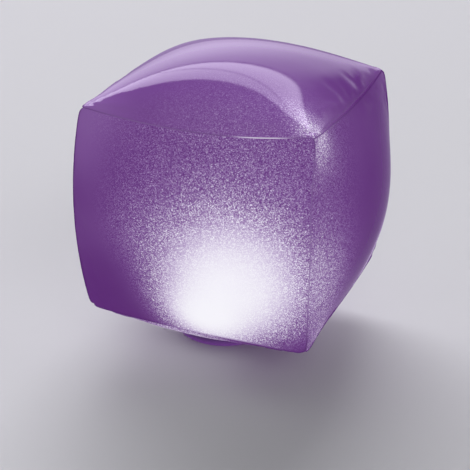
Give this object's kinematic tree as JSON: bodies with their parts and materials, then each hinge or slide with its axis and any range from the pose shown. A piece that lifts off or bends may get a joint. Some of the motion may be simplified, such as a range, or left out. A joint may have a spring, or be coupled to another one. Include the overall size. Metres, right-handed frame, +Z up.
{
  "type": "floating pool light",
  "caption": "Inflatable cube-shaped pool light of frosted glitter film, lit from inside by a removable battery lamp in its base.",
  "frame": {"origin": "under the middle of the cube, on the plane that the underside of the lamp rests on", "axes": "+Z up through the cube, -Y the front wall, +X the right wall, +Y the wall with the inflation valve"},
  "size_m": [0.2298, 0.2298, 0.2378],
  "materials": {
    "film": "frosted translucent purple film with glitter",
    "clear_pvc": "clear soft plastic, lightly tinted",
    "lamp_plastic": "moulded purple plastic, satin",
    "lens": "frosted white, glows when on",
    "seal_rubber": "soft dark purple rubber",
    "white_plastic": "moulded white plastic",
    "board": "green solder mask",
    "emitter": "yellow phosphor under clear resin",
    "black_plastic": "moulded black plastic",
    "cell_jacket": "printed-look sleeve on a metal can, no marks",
    "spring_steel": "nickel-plated steel",
    "wire_jacket": "insulated wire"
  },
  "bodies": {
    "lamp": {"lamp_housing": "lamp_plastic", "lens_dome": "lens", "dome_seal": "seal_rubber", "base_gasket": "seal_rubber", "reflector": "white_plastic", "circuit_board": "board", "led_emitters": "emitter", "controller_chip": "black_plastic", "resistors": "black_plastic", "switch_body": "black_plastic", "button_seal": "seal_rubber", "battery_1": "cell_jacket", "battery_2": "cell_jacket", "battery_3": "cell_jacket", "contact_springs": "spring_steel", "contact_plates": "spring_steel", "battery_leads": "wire_jacket", "door_gasket": "seal_rubber", "board_screws": "spring_steel"},
    "cube": {"top_panel": "film", "front_panel": "film", "back_panel": "film", "left_panel": "film", "right_panel": "film", "bottom_panel": "film", "socket_ring": "clear_pvc", "light_pocket": "clear_pvc", "valve_flange": "clear_pvc"},
    "valve_stem": {"valve_stem": "clear_pvc", "valve_strap": "clear_pvc"},
    "valve_plug": {"valve_plug": "clear_pvc"},
    "valve_flap": {"valve_flap": "clear_pvc"},
    "battery_door": {"battery_door": "lamp_plastic", "door_screws": "spring_steel"},
    "mode_button": {"mode_button": "white_plastic"},
    "switch_plunger": {"switch_plunger": "white_plastic"}
  },
  "joints": [
    {"name": "cube_lift", "type": "slide", "parent": "lamp", "child": "cube", "axis": [0, 0, 1], "range_m": [0, 0.045]},
    {"name": "valve_pull", "type": "slide", "parent": "cube", "child": "valve_stem", "axis": [0, 1, 0], "range_m": [0, 0.009]},
    {"name": "plug_pull", "type": "slide", "parent": "valve_stem", "child": "valve_plug", "axis": [0, 1, 0], "range_m": [0, 0.012]},
    {"name": "flap_swing", "type": "hinge", "parent": "valve_stem", "child": "valve_flap", "pos_m": [0, 0.10699, 0.12862], "axis": [-1, 0, 0], "range_deg": [0, 50]},
    {"name": "door_drop", "type": "slide", "parent": "lamp", "child": "battery_door", "axis": [0, 0, -1], "range_m": [0, 0.025]},
    {"name": "button_press", "type": "slide", "parent": "lamp", "child": "mode_button", "axis": [0, 0, 1], "range_m": [0, 0.0008], "stiffness_N_per_m": 400, "springref_m": -0.002},
    {"name": "plunger_press", "type": "slide", "parent": "lamp", "child": "switch_plunger", "axis": [0, 0, 1], "range_m": [0, 0.00025]}
  ],
  "couplings": [
    {"joint": "plunger_press", "follows": "button_press", "ratio": 0.3}
  ]
}
